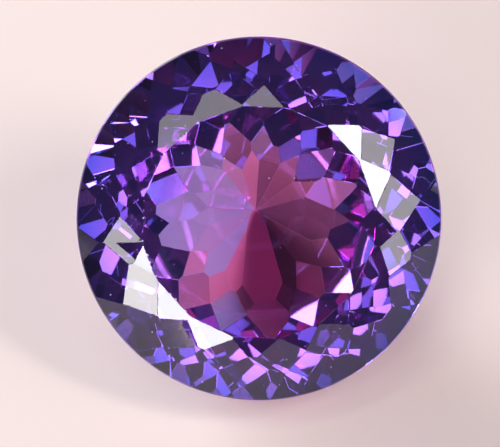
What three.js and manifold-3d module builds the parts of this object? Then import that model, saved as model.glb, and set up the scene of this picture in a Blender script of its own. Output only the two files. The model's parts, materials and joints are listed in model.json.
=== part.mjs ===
// A round violet gemstone, cut by hand in rows of kite-shaped facets and lying loose on a surface.
// It is one solid: a round blank, with one flat cut from it for each facet.
// The stone is cut about its own axis, table up, and then tipped over onto one facet near its point.

import * as THREE from "three";
import { mergeVertices } from "three/addons/utils/BufferGeometryUtils.js";
import Module from "manifold-3d";

// Driving dimensions, in millimetres and degrees
const girdleRadius = 11;
const girdleThickness = 0.45;
const girdleSides = 128;
const facetsInRow = 16;
const tableCornerRadius = 0.64 * girdleRadius;

// Crown, from the table outward: the stars' slope, and the radii where the corners of the facets meet
const starSlope = 25;
const starTipRadius = 0.755 * girdleRadius;
const upperKiteTipRadius = 0.87 * girdleRadius;
const crownGirdleHalfWidth = 6.5;
const crownAzimuth = 8.8;

// Pavilion, from the culet outward: the first row's slope, and the radii where the facets' corners meet
const culetSlope = 30.8;
const pavilionCornerShares = [0.31, 0.42, 0.555, 0.675, 0.83];
const pavilionGirdleHalfWidth = 5.5;
const pavilionAzimuth = 5.8;

// Centres of the pavilion's rows, from the culet to the girdle. The culet lies off the girdle's axis.
const pavilionCentres = [
  [-0.225, 0.2],
  [-0.215, 0.138],
  [-0.205, 0.076],
  [-0.15, 0.03],
  [-0.08, 0],
  [0, 0],
];

// How far a facet strays from its place: degrees of azimuth, degrees of slope, and depth of cut
const strayAzimuth = 0.55;
const straySlope = 0.22;
const strayDepth = 0.035;
const strayStart = 20;

// Corners closer together than this are worn into one
const shortestEdge = 0.01;

// The petal that the stone lies on, counted round from the first azimuth. It is cut this much deeper
// than its neighbours, which makes it broad enough for the stone to lie still on it.
const restPetal = 12;
const restCut = 0.08;

const halfStep = 180 / facetsInRow;
const lapSize = 4 * girdleRadius;
const wasm = await Module();
wasm.setup();

function radians(degrees) {
  return THREE.MathUtils.degToRad(degrees);
}

function cosine(degrees) {
  return Math.cos(radians(degrees));
}

// A repeatable list of small deviations, each between -1 and 1
function makeStray(start) {
  let state = start;
  return function stray() {
    state = (state * 16807) % 2147483647;
    return (2 * state) / 2147483647 - 1;
  };
}

function solidFrom(geometry) {
  const bare = geometry.clone();
  bare.deleteAttribute("normal");
  bare.deleteAttribute("uv");
  const merged = mergeVertices(bare);
  const mesh = new wasm.Mesh({
    numProp: 3,
    vertProperties: new Float32Array(merged.attributes.position.array),
    triVerts: new Uint32Array(merged.index.array),
  });
  return new wasm.Manifold(mesh);
}

function geometryFrom(solid) {
  const mesh = solid.getMesh();
  const geometry = new THREE.BufferGeometry();
  geometry.setAttribute("position", new THREE.BufferAttribute(new Float32Array(mesh.vertProperties), 3));
  geometry.setIndex(new THREE.BufferAttribute(new Uint32Array(mesh.triVerts), 1));
  return geometry;
}

// Height of a row's plane above its start, at a radius and an azimuth measured from the facet's middle
function heightOnRow(row, radius, azimuth) {
  return row.tipHeight + row.rise * (radius * cosine(azimuth) - row.tipRadius);
}

// Adds a row half a step round from the last one. Its facets start at a corner of known height, and
// their side corners lie on the last row at a given radius and azimuth from their own middle.
function nextRow(rows, tipRadius, tipHeight, sideRadius, sideAzimuth) {
  const last = rows[rows.length - 1];
  const sideHeight = heightOnRow(last, sideRadius, halfStep - sideAzimuth);
  const run = sideRadius * cosine(sideAzimuth) - tipRadius;
  const rise = (sideHeight - tipHeight) / run;
  rows.push({ turn: halfStep - last.turn, tipRadius, tipHeight, rise });
}

// The crown's rows: stars round the table, two rows of kites, and the girdle's own facets
function crownRows() {
  const tableEdgeRadius = tableCornerRadius * cosine(halfStep);
  const starRise = Math.tan(radians(starSlope));
  const stars = { turn: halfStep, tipRadius: tableEdgeRadius, tipHeight: 0, rise: starRise };
  const rows = [stars];
  nextRow(rows, tableCornerRadius, 0, starTipRadius, halfStep);
  nextRow(rows, starTipRadius, heightOnRow(stars, starTipRadius, 0), upperKiteTipRadius, halfStep);
  const kiteTipHeight = heightOnRow(rows[1], upperKiteTipRadius, 0);
  nextRow(rows, upperKiteTipRadius, kiteTipHeight, girdleRadius, crownGirdleHalfWidth);
  return rows;
}

// The pavilion's rows: petals that meet at the culet, four rows of kites, and the girdle's own facets
function pavilionRows() {
  const corners = pavilionCornerShares.map((share) => share * girdleRadius);
  const rows = [{ turn: 0, tipRadius: 0, tipHeight: 0, rise: Math.tan(radians(culetSlope)) }];
  let tipHeight = heightOnRow(rows[0], corners[0], halfStep);
  for (let i = 1; i < corners.length; i += 1) {
    nextRow(rows, corners[i - 1], tipHeight, corners[i], halfStep);
    tipHeight = heightOnRow(rows[i - 1], corners[i], 0);
  }
  nextRow(rows, corners.at(-1), tipHeight, girdleRadius, pavilionGirdleHalfWidth);
  return rows;
}

// Everything on the outer side of a plane through a point, as a block to take away
function lap(normal, point) {
  const block = new THREE.BoxGeometry(lapSize, lapSize, lapSize);
  block.translate(0, 0, lapSize / 2);
  const turn = new THREE.Quaternion().setFromUnitVectors(new THREE.Vector3(0, 0, 1), normal);
  block.applyMatrix4(new THREE.Matrix4().compose(point, turn, new THREE.Vector3(1, 1, 1)));
  return solidFrom(block);
}

function facetNormal(azimuth, slope, upward) {
  const across = Math.sin(radians(slope));
  return new THREE.Vector3(
    across * Math.cos(radians(azimuth)),
    across * Math.sin(radians(azimuth)),
    upward * cosine(slope),
  );
}

const crown = crownRows();
const pavilion = pavilionRows();
const crownHeight = heightOnRow(crown.at(-1), girdleRadius, crownGirdleHalfWidth);
const pavilionDepth = heightOnRow(pavilion.at(-1), girdleRadius, pavilionGirdleHalfWidth);
const tableHeight = girdleThickness / 2 + crownHeight;
const culetHeight = -girdleThickness / 2 - pavilionDepth;

// The stone's two sides: their rows, the height that these start from, and which way they face
const crownSide = { rows: crown, startHeight: tableHeight, firstAzimuth: crownAzimuth, upward: 1 };
const pavilionSide = { rows: pavilion, startHeight: culetHeight, firstAzimuth: pavilionAzimuth, upward: -1 };

// The plane of a facet: its outward normal, and a point on it. The petals all pass through the culet.
function facetPlane(side, place, index, stray) {
  const row = side.rows[place];
  const petal = side === pavilionSide && place === 0;
  const [centreX, centreY] = side === pavilionSide ? pavilionCentres[place] : [0, 0];
  const azimuth = side.firstAzimuth + row.turn + 2 * halfStep * index + strayAzimuth * stray();
  const slope = THREE.MathUtils.radToDeg(Math.atan(row.rise)) + straySlope * stray();
  const normal = facetNormal(azimuth, slope, side.upward);
  const point = new THREE.Vector3(
    centreX + row.tipRadius * Math.cos(radians(azimuth)),
    centreY + row.tipRadius * Math.sin(radians(azimuth)),
    side.startHeight - side.upward * row.tipHeight,
  );
  point.addScaledVector(normal, petal ? 0 : strayDepth * stray());
  const rests = petal && index === restPetal;
  if (rests) {
    point.addScaledVector(normal, -restCut);
  }
  return { normal, point, rests };
}

function allFacets() {
  const stray = makeStray(strayStart);
  const facets = [];
  [crownSide, pavilionSide].forEach((side) => {
    side.rows.forEach((row, place) => {
      for (let i = 0; i < facetsInRow; i += 1) {
        facets.push(facetPlane(side, place, i, stray));
      }
    });
  });
  return facets;
}

const facets = allFacets();

function cutStone() {
  const height = tableHeight - culetHeight + girdleThickness;
  const blank = new THREE.CylinderGeometry(girdleRadius, girdleRadius, height, girdleSides);
  blank.rotateX(Math.PI / 2);
  blank.translate(0, 0, tableHeight - height / 2);
  let stone = solidFrom(blank);
  facets.forEach(({ normal, point }) => {
    stone = stone.subtract(lap(normal, point));
  });
  return geometryFrom(stone.simplify(shortestEdge));
}

// Tips the stone so that its resting facet is level underneath and its table faces up and to the front
function layDown(mesh) {
  const { normal } = facets.find((facet) => facet.rests);
  const tip = new THREE.Quaternion().setFromUnitVectors(normal, new THREE.Vector3(0, 0, -1));
  const table = new THREE.Vector3(0, 0, 1).applyQuaternion(tip);
  const toFront = -Math.PI / 2 - Math.atan2(table.y, table.x);
  const spin = new THREE.Quaternion().setFromAxisAngle(new THREE.Vector3(0, 0, 1), toFront);
  mesh.quaternion.copy(spin.multiply(tip));
  mesh.updateMatrixWorld(true);
  const box = new THREE.Box3().setFromObject(mesh, true);
  const middle = box.getCenter(new THREE.Vector3());
  mesh.position.set(-middle.x, -middle.y, -box.min.z);
}

const violet = new THREE.MeshStandardMaterial({ color: 0x5a3ca0, roughness: 0.05, metalness: 0 });
const gemstone = new THREE.Mesh(cutStone(), violet);
gemstone.name = "gemstone";
layDown(gemstone);

const part = new THREE.Group();
part.add(gemstone);

export default part;
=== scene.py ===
# The looks of a round violet gemstone around its solid: worn facet edges, nicks, colour with
# painted light and shade, and polish.
import json
import math

import bmesh
import bpy
from bpy.props import FloatProperty, FloatVectorProperty, IntProperty, PointerProperty
from mathutils import Matrix, Vector


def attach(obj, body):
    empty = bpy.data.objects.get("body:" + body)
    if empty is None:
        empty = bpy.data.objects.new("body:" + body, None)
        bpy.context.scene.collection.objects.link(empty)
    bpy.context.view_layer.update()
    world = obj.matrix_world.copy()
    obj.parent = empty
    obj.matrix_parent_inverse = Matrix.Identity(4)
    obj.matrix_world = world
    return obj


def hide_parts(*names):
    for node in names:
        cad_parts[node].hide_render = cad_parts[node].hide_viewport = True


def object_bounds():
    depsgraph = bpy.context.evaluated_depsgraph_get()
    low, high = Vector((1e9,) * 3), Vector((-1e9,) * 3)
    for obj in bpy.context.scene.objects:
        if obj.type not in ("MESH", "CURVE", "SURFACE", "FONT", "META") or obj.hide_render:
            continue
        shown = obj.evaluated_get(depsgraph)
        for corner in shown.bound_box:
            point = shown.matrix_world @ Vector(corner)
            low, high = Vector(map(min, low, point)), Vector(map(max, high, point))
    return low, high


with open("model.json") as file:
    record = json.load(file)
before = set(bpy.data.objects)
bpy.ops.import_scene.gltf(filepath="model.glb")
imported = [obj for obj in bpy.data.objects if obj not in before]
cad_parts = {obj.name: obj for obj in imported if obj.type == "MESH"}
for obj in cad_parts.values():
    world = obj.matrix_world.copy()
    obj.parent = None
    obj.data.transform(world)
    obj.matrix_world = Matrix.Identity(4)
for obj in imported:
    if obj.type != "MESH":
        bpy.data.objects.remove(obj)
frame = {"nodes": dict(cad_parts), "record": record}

bl_info = {
    "name": "Cut Gemstone",
    "version": (1, 0, 0),
    "blender": (4, 5, 0),
    "location": "3D View > Sidebar > Gemstone",
    "description": "Finishes a faceted gemstone and sets a small studio round it",
    "category": "Object",
}

CAD_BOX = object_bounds()
CAD_NODE = "gemstone"
BODY = "root"
MM = 0.001

# The stone's own directions: out of the table, across the photograph and up the photograph. The
# photograph is turned a little about the table's direction.
MOUNTS = {mount["name"]: mount for mount in frame["record"]["mounts"]}
TABLE_POINT = Vector(MOUNTS["table"]["pos_m"])
TABLE_OUT = Vector(MOUNTS["table"]["axis"]).normalized()
PHOTO_TURN = math.radians(-5.27)
ACROSS = Matrix.Rotation(PHOTO_TURN, 3, TABLE_OUT) @ Vector((1.0, 0.0, 0.0))
UPWARD = TABLE_OUT.cross(ACROSS).normalized()
STONE_RADIUS = (CAD_BOX[1][0] - CAD_BOX[0][0]) / 2

# The photograph's frame in pixels, and the stone's place in it
PHOTO_SIZE = (500, 447)
STONE_WIDTH_PX = 364.5
STONE_MIDDLE_PX = (259.0, 219.0)

# Corners closer together than this are one corner, and faces that turn less than this are one facet
SAME_PLACE = 0.002 * MM
SAME_FACET = math.radians(0.2)

# The stretch of the table's edge that has nicks, in degrees round from the photograph's right
NICKED_FROM, NICKED_TO = 112, 232

# The marks that the stone's mesh carries: edges with nicks, and the direction that each face faces
WORN_EDGE = "worn_edge"
FACING = "facing"

# Nicks and pits: the share of the places along the edge that stay whole, and the smallest scoop as
# a share of the largest
WHOLE_SHARE = 0.5
SMALLEST_SCOOP = 0.35

# Tints of the crown: where each is pure, as a share of the way from the table's axis to the rim.
# The pink in the middle is a painted warm view through the table; the crown's and rim's blue is
# partly the mineral's own blue and partly painted bluish light
HEART_AT, CROWN_AT, RIM_AT, GIRDLE_AT = 0.30, 0.80, 0.985, 0.994

# Painted light and shade on the underside: where the painted shade, the painted warm view and the
# painted light are pure along the change from shade to light, how far that change follows the
# facet's direction towards the lit side, and the scale and place of the patchy painted light and
# shade across the facets
PAINTED_SHADE_AT, PAINTED_VIEW_FROM, PAINTED_VIEW_TO, PAINTED_LIGHT_AT = 0.26, 0.54, 0.63, 0.75
# The side whose facets get the painted light; facets facing away get the painted shade
PAINTED_LIGHT_SIDE = (0.1 * UPWARD - ACROSS).normalized()
PAINTED_LIGHT_PULL = 0.70
PATCHY_LIGHT_SCALE = 8.0
PATCHY_LIGHT_PLACE = 5.0

# Heights from the girdle's middle: the underside's painted light and shade end at the first, and
# its weaker polish gives way to the crown's between the other two
UNDERSIDE_PAINTED_LIGHT_TOP = -0.22 * MM
UNDERSIDE_POLISH_TOP = (-0.25 * MM, -0.20 * MM)

# The ground girdle's roughness grows between these shares of the way out
GROUND_FROM, GROUND_TO = 0.990, 0.994

# The lights: name, degrees round from the photograph's right, degrees off the table's direction,
# width and height in metres, radiance, and colour. All stand equally far from the stone.
WHITE, WARM = (0.97, 0.98, 1.0), (1.0, 0.96, 0.92)
COOL, BLUISH = (0.55, 0.74, 1.0), (0.80, 0.88, 1.0)
LIGHTS = (
    ("window_right", 26.5, 49.5, (0.17, 0.055), 15.0, WHITE),
    ("window_left", 226, 53.5, (0.29, 0.075), 14.0, WHITE),
    ("top_card", 112, 47.5, (0.28, 0.06), 2.8, WARM),
    ("left_card", 193, 63.5, (0.05, 0.06), 6.0, WARM),
    ("low_left_card", 214, 65.5, (0.07, 0.05), 11.0, WARM),
    ("right_card", 4.5, 62.5, (0.31, 0.06), 4.5, WARM),
    ("back_light", 140, 104, (0.34, 0.12), 36.0, BLUISH),
    ("over_right", 45, 24, (0.10, 0.09), 1.4, COOL),
    ("over_top", 120, 36, (0.13, 0.07), 1.4, COOL),
    ("over_left", 205, 37, (0.11, 0.07), 1.5, COOL),
    ("over_front", 310, 33, (0.13, 0.08), 1.3, COOL),
    ("over_low", 262, 14, (0.05, 0.035), 1.6, COOL),
    ("over_head", 142, 17, (0.12, 0.07), 3.2, WHITE),
    ("spot_left", 162, 27, (0.05, 0.04), 4.0, WHITE),
    ("spot_top", 100, 21, (0.03, 0.03), 3.0, WHITE),
    ("spot_low", 222, 22, (0.035, 0.04), 4.0, WHITE),
    ("spot_right", 15, 17, (0.03, 0.03), 3.0, WHITE),
)
LIGHT_DISTANCE = 0.40
ROOM_COLOUR = (0.72, 0.82, 1.0)

# How often light is followed inside the stone and off the floor, and the brightest bounced sample
STONE_BOUNCES = 24
FLOOR_BOUNCES = 3
BRIGHTEST_BOUNCE = 20.0


def girdle_middle():
    """The point on the stone's axis that is level with its widest part."""
    outermost = 0.999 * STONE_RADIUS
    heights = []
    for vertex in frame["nodes"][CAD_NODE].data.vertices:
        arm = vertex.co - TABLE_POINT
        height = arm.dot(TABLE_OUT)
        if (arm - height * TABLE_OUT).length > outermost:
            heights.append(height)
    return TABLE_POINT + TABLE_OUT * (max(heights) + min(heights)) / 2


GIRDLE_MIDDLE = girdle_middle()


class StoneFinish(bpy.types.PropertyGroup):
    """Wear on the stone's edges and facets."""

    edge_width: FloatProperty(
        name="Edge width", description="Width of the worn line along each facet edge",
        default=0.035 * MM, subtype="DISTANCE", unit="LENGTH",
    )
    nick_count: IntProperty(
        name="Nicks", description="Places for nicks along the worn stretch of the table's edge",
        default=34,
    )
    nick_size: FloatProperty(
        name="Nick size", description="Largest radius of a nick",
        default=0.075 * MM, subtype="DISTANCE", unit="LENGTH",
    )
    pit_density: FloatProperty(
        name="Pits", description="Pits for each square metre of surface", default=60000.0,
    )
    pit_size: FloatProperty(
        name="Pit size", description="Largest radius of a pit",
        default=0.045 * MM, subtype="DISTANCE", unit="LENGTH",
    )
    seed: IntProperty(name="Seed", description="Start of the random places", default=7)


class StoneColour(bpy.types.PropertyGroup):
    """Colour and clearness of the stone, and the painted light and shade in its tints."""

    # Painted warm view through the table, pink in the stone's middle
    painted_heart_view: FloatVectorProperty(
        name="Heart", description="Tint of light through the table",
        default=(1.0, 0.76, 0.94), subtype="COLOR", size=3, min=0.0, max=1.0,
    )
    # Partly the mineral's own blue, partly painted bluish light
    crown: FloatVectorProperty(
        name="Crown", description="Tint of light through the crown",
        default=(0.26, 0.44, 0.95), subtype="COLOR", size=3, min=0.0, max=1.0,
    )
    # Partly the mineral's own blue, partly painted bluish light
    rim: FloatVectorProperty(
        name="Rim", description="Tint of light through the crown's edge",
        default=(0.05, 0.26, 0.85), subtype="COLOR", size=3, min=0.0, max=1.0,
    )
    girdle: FloatVectorProperty(
        name="Girdle", description="Tint of the ground girdle",
        default=(0.36, 0.40, 0.74), subtype="COLOR", size=3, min=0.0, max=1.0,
    )
    # Painted shade on the darkest facets under the girdle
    painted_shade: FloatVectorProperty(
        name="Plum", description="Darkest tint of the facets under the girdle",
        default=(0.10, 0.02, 0.06), subtype="COLOR", size=3, min=0.0, max=1.0,
    )
    # Painted warm view through the facets under the girdle
    painted_warm_view: FloatVectorProperty(
        name="Rose", description="Middle tint of the facets under the girdle",
        default=(1.0, 0.24, 0.42), subtype="COLOR", size=3, min=0.0, max=1.0,
    )
    # Painted light on the facets under the girdle towards the lit side
    painted_light: FloatVectorProperty(
        name="Lavender", description="Lightest tint of the facets under the girdle",
        default=(0.46, 0.60, 1.0), subtype="COLOR", size=3, min=0.0, max=1.0,
    )
    body: FloatVectorProperty(
        name="Body", description="Colour that the stone lets through",
        default=(0.80, 0.10, 0.82), subtype="COLOR", size=3, min=0.0, max=1.0,
    )
    depth: FloatProperty(
        name="Depth", description="Strength of the body colour, for each metre", default=62.0,
    )
    bending: FloatProperty(
        name="Refractive index", description="Refractive index of the mineral", default=1.69,
    )
    under_polish: FloatProperty(
        name="Underside roughness", description="Roughness of the facets under the girdle",
        default=0.03, subtype="FACTOR", min=0.0, max=1.0,
    )
    ground_girdle: FloatProperty(
        name="Girdle roughness", description="Roughness of the ground girdle",
        default=0.35, subtype="FACTOR", min=0.0, max=1.0,
    )


class StudioSettings(bpy.types.PropertyGroup):
    """Floor, lights and camera."""

    floor: FloatVectorProperty(
        name="Floor", description="Colour of the floor",
        default=(0.93, 0.74, 0.66), subtype="COLOR", size=3, min=0.0, max=1.0,
    )
    brightness: FloatProperty(
        name="Brightness", description="Strength of every light, as a factor", default=1.0,
    )
    sky: FloatProperty(name="Room", description="Strength of the light all round", default=0.08)
    distance: FloatProperty(
        name="Distance", description="From the camera to the middle of the girdle",
        default=0.27, subtype="DISTANCE", unit="LENGTH",
    )
    lean: FloatProperty(
        name="Lean", description="Angle of the camera above the table's own direction",
        default=math.radians(4.0), subtype="ANGLE", unit="ROTATION",
    )


def feed(tree, node, inputs):
    """Feeds a node's inputs with plain values or with other nodes' outputs."""
    for name, value in inputs.items():
        if isinstance(value, bpy.types.NodeSocket):
            tree.links.new(value, node.inputs[name])
        else:
            node.inputs[name].default_value = value


def add_node(tree, kind, inputs):
    """A new node, its inputs fed by name."""
    node = tree.nodes.new(kind)
    feed(tree, node, inputs)
    return node


def maths(tree, operation, *terms):
    """The output of a Math node."""
    node = tree.nodes.new("ShaderNodeMath")
    node.operation = operation
    feed(tree, node, dict(enumerate(terms)))
    return node.outputs["Value"]


def vector_maths(tree, operation, *terms):
    """The output of a Vector Math node, which is a number for a dot product or a length."""
    node = tree.nodes.new("ShaderNodeVectorMath")
    node.operation = operation
    feed(tree, node, dict(enumerate(terms)))
    return node.outputs["Value" if operation in ("DOT_PRODUCT", "LENGTH") else "Vector"]


def add_ramp(tree, share, stops):
    """The colour at a share of the way along a ramp. Each stop is a position and a colour."""
    node = tree.nodes.new("ShaderNodeValToRGB")
    feed(tree, node, {"Fac": share})
    elements = node.color_ramp.elements
    for element, (position, colour) in zip(elements, (stops[0], stops[-1])):
        element.position = position
        element.color = (*colour, 1.0)
    for position, colour in stops[1:-1]:
        elements.new(position).color = (*colour, 1.0)
    return node.outputs["Color"]


def facet_faces():
    """The solid with its doubled vertices merged and each flat facet joined into one face."""
    shell = bmesh.new()
    shell.from_mesh(frame["nodes"][CAD_NODE].data)
    bmesh.ops.remove_doubles(shell, verts=shell.verts, dist=SAME_PLACE)
    bmesh.ops.dissolve_limit(shell, angle_limit=SAME_FACET, verts=shell.verts, edges=shell.edges)
    bmesh.ops.recalc_face_normals(shell, faces=shell.faces)
    return shell


def cut_flat(shell, point, normal):
    """Takes away what lies on the outer side of a plane, and closes the cut with a new face."""
    everything = shell.verts[:] + shell.edges[:] + shell.faces[:]
    on_plane = 1e-9
    cut = bmesh.ops.bisect_plane(
        shell, geom=everything, dist=on_plane, plane_co=point, plane_no=normal, clear_outer=True,
    )
    rim = [item for item in cut["geom_cut"] if isinstance(item, bmesh.types.BMEdge)]
    if len(rim) > 2:
        bmesh.ops.contextual_create(shell, geom=rim)


def wear_edges(shell, width):
    """Lays a narrow flat along every edge between two facets."""
    least_turn = math.radians(3.0)
    shortest = 0.12 * MM
    flats = []
    for edge in shell.edges:
        turn = edge.calc_face_angle(0.0)
        if turn < least_turn or edge.calc_length() < shortest:
            continue
        outward = (edge.link_faces[0].normal + edge.link_faces[1].normal).normalized()
        depth = width / 2 * math.tan(turn / 2)
        flats.append((edge.verts[0].co - outward * depth, outward))
    for point, normal in flats:
        cut_flat(shell, point, normal)
    bmesh.ops.recalc_face_normals(shell, faces=shell.faces)


def mark_worn_edge(mesh):
    """Marks the stretch of the table's edge that has nicks, on the photograph's left."""
    first, last = math.radians(NICKED_FROM), math.radians(NICKED_TO)
    least_arm = 0.55 * STONE_RADIUS
    worn = mesh.attributes.new(WORN_EDGE, "BOOLEAN", "EDGE")
    for edge, mark in zip(mesh.edges, worn.data):
        ends = [mesh.vertices[i].co - TABLE_POINT for i in edge.vertices]
        on_table = all(abs(end.dot(TABLE_OUT)) < SAME_PLACE for end in ends)
        middle = (ends[0] + ends[1]) / 2
        turn = math.atan2(middle.dot(UPWARD), middle.dot(ACROSS)) % math.tau
        mark.value = on_table and middle.length > least_arm and first < turn < last


def mark_facing(mesh):
    """Keeps on every face the direction that it faces."""
    facing = mesh.attributes.new(FACING, "FLOAT_VECTOR", "FACE")
    for face, mark in zip(mesh.polygons, facing.data):
        mark.vector = face.normal


def scoop_size(tree, given, largest, shift):
    """A random radius up to the largest, from a seed that is shifted so that no two sets agree."""
    size = tree.nodes.new("FunctionNodeRandomValue")
    size.data_type = "FLOAT"
    feed(tree, size, {
        "Min": maths(tree, "MULTIPLY", given.outputs[largest], SMALLEST_SCOOP),
        "Max": given.outputs[largest],
        "Seed": maths(tree, "ADD", given.outputs["Seed"], shift),
    })
    return size.outputs["Value"]


def nick_points(tree, given):
    """Points at random along the worn edge."""
    marked = tree.nodes.new("GeometryNodeInputNamedAttribute")
    marked.data_type = "BOOLEAN"
    feed(tree, marked, {"Name": WORN_EDGE})
    line = add_node(tree, "GeometryNodeMeshToCurve", {
        "Mesh": given.outputs["Stone"],
        "Selection": marked.outputs["Attribute"],
    })
    along = tree.nodes.new("GeometryNodeCurveToPoints")
    along.mode = "COUNT"
    feed(tree, along, {"Curve": line.outputs["Curve"], "Count": given.outputs["Nicks"]})
    chance = tree.nodes.new("FunctionNodeRandomValue")
    chance.data_type = "BOOLEAN"
    feed(tree, chance, {"Probability": WHOLE_SHARE, "Seed": given.outputs["Seed"]})
    thinned = add_node(tree, "GeometryNodeDeleteGeometry", {
        "Geometry": along.outputs["Points"],
        "Selection": chance.outputs["Value"],
    })
    return thinned.outputs["Geometry"]


def pit_points(tree, given):
    """Points at random all over the facets."""
    scatter = add_node(tree, "GeometryNodeDistributePointsOnFaces", {
        "Mesh": given.outputs["Stone"],
        "Density": given.outputs["Pits"],
        "Seed": given.outputs["Seed"],
    })
    return scatter.outputs["Points"]


def wear_tree(gem, frosted):
    """Geometry Nodes that scoop nicks out of the worn edge and pits out of the facets."""
    tree = bpy.data.node_groups.new("stone_wear", "GeometryNodeTree")
    inputs = {
        "Stone": "NodeSocketGeometry",
        "Nicks": "NodeSocketInt",
        "Nick size": "NodeSocketFloat",
        "Pits": "NodeSocketFloat",
        "Pit size": "NodeSocketFloat",
        "Seed": "NodeSocketInt",
    }
    for name, kind in inputs.items():
        tree.interface.new_socket(name, in_out="INPUT", socket_type=kind)
    tree.interface.new_socket("Worn stone", in_out="OUTPUT", socket_type="NodeSocketGeometry")
    given = tree.nodes.new("NodeGroupInput")
    result = tree.nodes.new("NodeGroupOutput")

    scoop = add_node(tree, "GeometryNodeMeshIcoSphere", {"Radius": 1.0, "Subdivisions": 2})
    nicks = add_node(tree, "GeometryNodeInstanceOnPoints", {
        "Points": nick_points(tree, given),
        "Instance": scoop.outputs["Mesh"],
        "Scale": scoop_size(tree, given, "Nick size", 1),
    })
    pits = add_node(tree, "GeometryNodeInstanceOnPoints", {
        "Points": pit_points(tree, given),
        "Instance": scoop.outputs["Mesh"],
        "Scale": scoop_size(tree, given, "Pit size", 2),
    })
    scoops = tree.nodes.new("GeometryNodeJoinGeometry")
    for kind in (nicks, pits):
        feed(tree, scoops, {"Geometry": kind.outputs["Instances"]})
    real = add_node(tree, "GeometryNodeRealizeInstances", {"Geometry": scoops.outputs["Geometry"]})
    frost = add_node(tree, "GeometryNodeSetMaterial", {
        "Geometry": real.outputs["Geometry"],
        "Material": frosted,
    })

    carve = tree.nodes.new("GeometryNodeMeshBoolean")
    carve.operation = "DIFFERENCE"
    carve.solver = "EXACT"
    feed(tree, carve, {
        "Mesh 1": given.outputs["Stone"],
        "Mesh 2": frost.outputs["Geometry"],
        "Self Intersection": True,
    })
    whole = add_node(tree, "GeometryNodeRealizeInstances", {"Geometry": carve.outputs["Mesh"]})
    scooped = add_node(tree, "GeometryNodeMaterialSelection", {"Material": frosted})
    polished = tree.nodes.new("FunctionNodeBooleanMath")
    polished.operation = "NOT"
    feed(tree, polished, {0: scooped.outputs["Selection"]})
    finish = add_node(tree, "GeometryNodeSetMaterial", {
        "Geometry": whole.outputs["Geometry"],
        "Selection": polished.outputs["Boolean"],
        "Material": gem,
    })
    feed(tree, result, {"Worn stone": finish.outputs["Geometry"]})
    return tree


def set_input(modifier, name, value):
    """Sets one of the modifier's inputs by its socket's identifier."""
    for item in modifier.node_group.interface.items_tree:
        if item.item_type == "SOCKET" and item.in_out == "INPUT" and item.name == name:
            modifier[item.identifier] = value
            return
    raise KeyError(name)


def add_wear(stone, finish, gem, frosted):
    """Puts the nicks and pits on the stone, as a modifier."""
    modifier = stone.modifiers.new("wear", "NODES")
    modifier.node_group = wear_tree(gem, frosted)
    set_input(modifier, "Nicks", finish.nick_count)
    set_input(modifier, "Nick size", finish.nick_size)
    set_input(modifier, "Pits", finish.pit_density)
    set_input(modifier, "Pit size", finish.pit_size)
    set_input(modifier, "Seed", finish.seed)


def make_plain(piece):
    """Turns the piece's modifiers into mesh."""
    bpy.context.view_layer.update()
    evaluated = piece.evaluated_get(bpy.context.evaluated_depsgraph_get())
    mesh = bpy.data.meshes.new_from_object(evaluated)
    mesh.name = piece.name
    piece.modifiers.clear()
    piece.data = mesh


def frosted_material():
    """The broken inside of nicks and pits, which looks white."""
    material = bpy.data.materials.new("broken_mineral")
    material.use_nodes = True
    shader = material.node_tree.nodes["Principled BSDF"]
    shader.inputs["Base Color"].default_value = (0.86, 0.82, 0.92, 1.0)
    shader.inputs["Roughness"].default_value = 0.6
    return material


def place_in_stone(tree):
    """Share of the way from the table's axis to the rim, and height above the girdle's middle."""
    place = tree.nodes.new("ShaderNodeTexCoord")
    arm = vector_maths(tree, "SUBTRACT", place.outputs["Object"], GIRDLE_MIDDLE)
    across = vector_maths(tree, "CROSS_PRODUCT", arm, TABLE_OUT)
    radius = vector_maths(tree, "LENGTH", across)
    height = vector_maths(tree, "DOT_PRODUCT", arm, TABLE_OUT)
    return maths(tree, "DIVIDE", radius, STONE_RADIUS), height


def underside_painted_light(tree, colour):
    """Painted light and shade on a facet under the girdle, by the way that it faces.

    Facets towards the lit side get painted light, the others a painted warm view through the stone
    or painted shade, patchy from facet to facet.
    """
    facing = tree.nodes.new("ShaderNodeAttribute")
    facing.attribute_name = FACING
    # Patchy painted light and shade, changing from facet to facet
    patchy_light = tree.nodes.new("ShaderNodeTexNoise")
    patchy_light.noise_dimensions = "4D"
    feed(tree, patchy_light, {
        "Vector": facing.outputs["Vector"],
        "W": PATCHY_LIGHT_PLACE,
        "Scale": PATCHY_LIGHT_SCALE,
        "Detail": 0.0,
    })
    sideways = vector_maths(tree, "DOT_PRODUCT", facing.outputs["Vector"], PAINTED_LIGHT_SIDE)
    change = maths(tree, "MULTIPLY_ADD", sideways, PAINTED_LIGHT_PULL, patchy_light.outputs["Fac"])
    # Painted shade, painted warm view and painted light along the ramp
    return add_ramp(tree, change, (
        (PAINTED_SHADE_AT, colour.painted_shade),
        (PAINTED_VIEW_FROM, colour.painted_warm_view),
        (PAINTED_VIEW_TO, colour.painted_warm_view),
        (PAINTED_LIGHT_AT, colour.painted_light),
    ))


def tint_and_painted_light(tree, colour, share, height):
    """Tints from the table's middle to the girdle seen from above, partly painted light, and the
    underside's painted light and shade below.
    """
    # Painted warm view in the middle, then blue that is partly painted bluish light towards the rim
    above = add_ramp(tree, share, (
        (HEART_AT, colour.painted_heart_view),
        (CROWN_AT, colour.crown),
        (RIM_AT, colour.rim),
        (GIRDLE_AT, colour.girdle),
    ))
    both = tree.nodes.new("ShaderNodeMix")
    both.data_type = "RGBA"
    feed(tree, both, {
        "Factor": maths(tree, "GREATER_THAN", height, UNDERSIDE_PAINTED_LIGHT_TOP),
        "A": underside_painted_light(tree, colour),
        "B": above,
    })
    return both.outputs["Result"]


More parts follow.
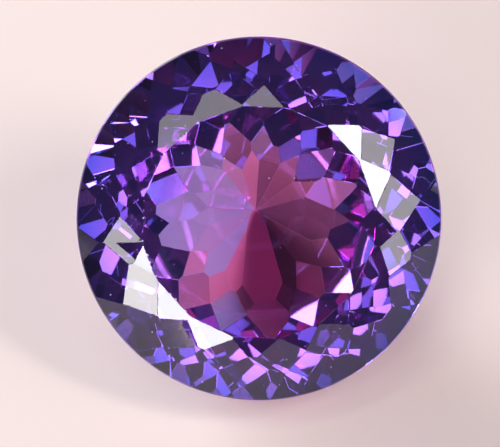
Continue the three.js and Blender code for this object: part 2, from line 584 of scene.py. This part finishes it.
def stone_roughness(tree, colour, share, height):
    """Roughness of the crown, of the underside, which is polished less well, and of the girdle."""
    under = add_node(tree, "ShaderNodeMapRange", {
        "Value": height,
        "From Min": UNDERSIDE_POLISH_TOP[0],
        "From Max": UNDERSIDE_POLISH_TOP[1],
        "To Min": colour.under_polish,
        "To Max": 0.0,
    })
    ground = add_node(tree, "ShaderNodeMapRange", {
        "Value": share,
        "From Min": GROUND_FROM,
        "From Max": GROUND_TO,
        "To Min": under.outputs["Result"],
        "To Max": colour.ground_girdle,
    })
    return ground.outputs["Result"]


def gem_material(colour):
    """Clear violet mineral with polished facets and a ground girdle; its base colour carries
    painted light and shade.
    """
    material = bpy.data.materials.new("violet_mineral")
    material.use_nodes = True
    tree = material.node_tree
    inside = add_node(tree, "ShaderNodeVolumeAbsorption", {
        "Color": (*colour.body, 1.0),
        "Density": colour.depth,
    })
    feed(tree, tree.nodes["Material Output"], {"Volume": inside.outputs["Volume"]})
    share, height = place_in_stone(tree)
    feed(tree, tree.nodes["Principled BSDF"], {
        "Base Color": tint_and_painted_light(tree, colour, share, height),
        "Roughness": stone_roughness(tree, colour, share, height),
        "IOR": colour.bending,
        "Transmission Weight": 1.0,
    })
    return material


class GEMSTONE_OT_cut_stone(bpy.types.Operator):
    """Make the finished stone from the plain solid"""

    bl_idname = "gemstone.cut_stone"
    bl_label = "Cut Stone"

    def execute(self, context):
        finish = context.scene.stone_finish
        shell = facet_faces()
        wear_edges(shell, finish.edge_width)
        mesh = bpy.data.meshes.new("cut_stone")
        shell.to_mesh(mesh)
        shell.free()
        mark_worn_edge(mesh)
        gem = gem_material(context.scene.stone_colour)
        mesh.materials.append(gem)
        stone = bpy.data.objects.new("cut_stone", mesh)
        context.scene.collection.objects.link(stone)
        add_wear(stone, finish, gem, frosted_material())
        make_plain(stone)
        mark_facing(stone.data)
        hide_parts(CAD_NODE)
        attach(stone, BODY)
        return {"FINISHED"}


def soft_light(name, turn, lean, size, radiance, colour):
    """A rectangular light that faces the stone, its width running round the table's direction."""
    turn, lean = math.radians(turn), math.radians(lean)
    sideways = math.cos(turn) * ACROSS + math.sin(turn) * UPWARD
    direction = (math.sin(lean) * sideways + math.cos(lean) * TABLE_OUT).normalized()
    around = TABLE_OUT.cross(direction).normalized()
    turned = Matrix((around, direction.cross(around), direction)).transposed()
    place = Matrix.Translation(GIRDLE_MIDDLE + direction * LIGHT_DISTANCE)
    lamp = bpy.data.lights.new(name, "AREA")
    lamp.shape = "RECTANGLE"
    lamp.size, lamp.size_y = size
    lamp.energy = radiance * math.pi * size[0] * size[1]
    lamp.color = colour
    light = bpy.data.objects.new(name, lamp)
    light.matrix_world = place @ turned.to_4x4()
    light.visible_camera = False
    bpy.context.scene.collection.objects.link(light)


def make_floor(colour):
    """A plain floor just under the stone."""
    half, gap = 0.6, 0.03 * MM
    mesh = bpy.data.meshes.new("floor")
    corners = [(-half, -half, -gap), (half, -half, -gap), (half, half, -gap), (-half, half, -gap)]
    mesh.from_pydata(corners, [], [(0, 1, 2, 3)])
    floor = bpy.data.objects.new("floor", mesh)
    bpy.context.scene.collection.objects.link(floor)
    material = bpy.data.materials.new("pale_floor")
    material.use_nodes = True
    shader = material.node_tree.nodes["Principled BSDF"]
    shader.inputs["Base Color"].default_value = (*colour, 1.0)
    shader.inputs["Roughness"].default_value = 0.8
    mesh.materials.append(material)


def make_camera(distance, lean):
    """A camera above the table that frames the stone as the photograph does."""
    camera = bpy.data.cameras.new("camera")
    seen = bpy.data.objects.new("camera", camera)
    bpy.context.scene.collection.objects.link(seen)
    bpy.context.scene.camera = seen
    back = (TABLE_OUT + math.tan(lean) * UPWARD).normalized()
    up = (UPWARD - UPWARD.dot(back) * back).normalized()
    turned = Matrix((up.cross(back), up, back)).transposed()
    seen.matrix_world = Matrix.Translation(GIRDLE_MIDDLE + back * distance) @ turned.to_4x4()
    frame_width = 2 * STONE_RADIUS * PHOTO_SIZE[0] / STONE_WIDTH_PX
    camera.lens = camera.sensor_width * distance / frame_width
    camera.shift_x = (PHOTO_SIZE[0] / 2 - STONE_MIDDLE_PX[0]) / PHOTO_SIZE[0]
    camera.shift_y = (STONE_MIDDLE_PX[1] - PHOTO_SIZE[1] / 2) / PHOTO_SIZE[0]


def make_room(strength):
    """Even, dim and slightly cool light from all round."""
    world = bpy.data.worlds.new("room")
    world.use_nodes = True
    sky = world.node_tree.nodes["Background"]
    sky.inputs["Color"].default_value = (*ROOM_COLOUR, 1.0)
    sky.inputs["Strength"].default_value = strength
    return world


def follow_light(scene):
    """Lets light bounce often enough inside the stone, and shows colours as they are."""
    settings = scene.cycles
    settings.max_bounces = STONE_BOUNCES
    settings.transmission_bounces = STONE_BOUNCES
    settings.glossy_bounces = STONE_BOUNCES
    settings.diffuse_bounces = FLOOR_BOUNCES
    settings.use_denoising = True
    settings.sample_clamp_indirect = BRIGHTEST_BOUNCE
    scene.view_settings.view_transform = "Standard"


class GEMSTONE_OT_set_stage(bpy.types.Operator):
    """Make the floor, the lights and the camera"""

    bl_idname = "gemstone.set_stage"
    bl_label = "Set Stage"

    def execute(self, context):
        studio = context.scene.stone_studio
        make_floor(studio.floor)
        make_camera(studio.distance, studio.lean)
        for name, turn, lean, size, radiance, colour in LIGHTS:
            soft_light(name, turn, lean, size, radiance * studio.brightness, colour)
        context.scene.world = make_room(studio.sky * studio.brightness)
        follow_light(context.scene)
        return {"FINISHED"}


class GEMSTONE_PT_panel(bpy.types.Panel):
    """Lists the stone's settings and its two steps."""

    bl_label = "Gemstone"
    bl_space_type = "VIEW_3D"
    bl_region_type = "UI"
    bl_category = "Gemstone"

    def draw(self, context):
        for group in (context.scene.stone_finish, context.scene.stone_colour):
            for name in group.__annotations__:
                self.layout.prop(group, name)
        self.layout.operator(GEMSTONE_OT_cut_stone.bl_idname)
        for name in context.scene.stone_studio.__annotations__:
            self.layout.prop(context.scene.stone_studio, name)
        self.layout.operator(GEMSTONE_OT_set_stage.bl_idname)


CLASSES = (
    StoneFinish,
    StoneColour,
    StudioSettings,
    GEMSTONE_OT_cut_stone,
    GEMSTONE_OT_set_stage,
    GEMSTONE_PT_panel,
)


def register():
    for item in CLASSES:
        bpy.utils.register_class(item)
    bpy.types.Scene.stone_finish = PointerProperty(type=StoneFinish)
    bpy.types.Scene.stone_colour = PointerProperty(type=StoneColour)
    bpy.types.Scene.stone_studio = PointerProperty(type=StudioSettings)


def unregister():
    del bpy.types.Scene.stone_studio
    del bpy.types.Scene.stone_colour
    del bpy.types.Scene.stone_finish
    for item in reversed(CLASSES):
        bpy.utils.unregister_class(item)


def main():
    register()
    bpy.ops.gemstone.cut_stone()
    bpy.ops.gemstone.set_stage()


if __name__ == "__main__":
    main()
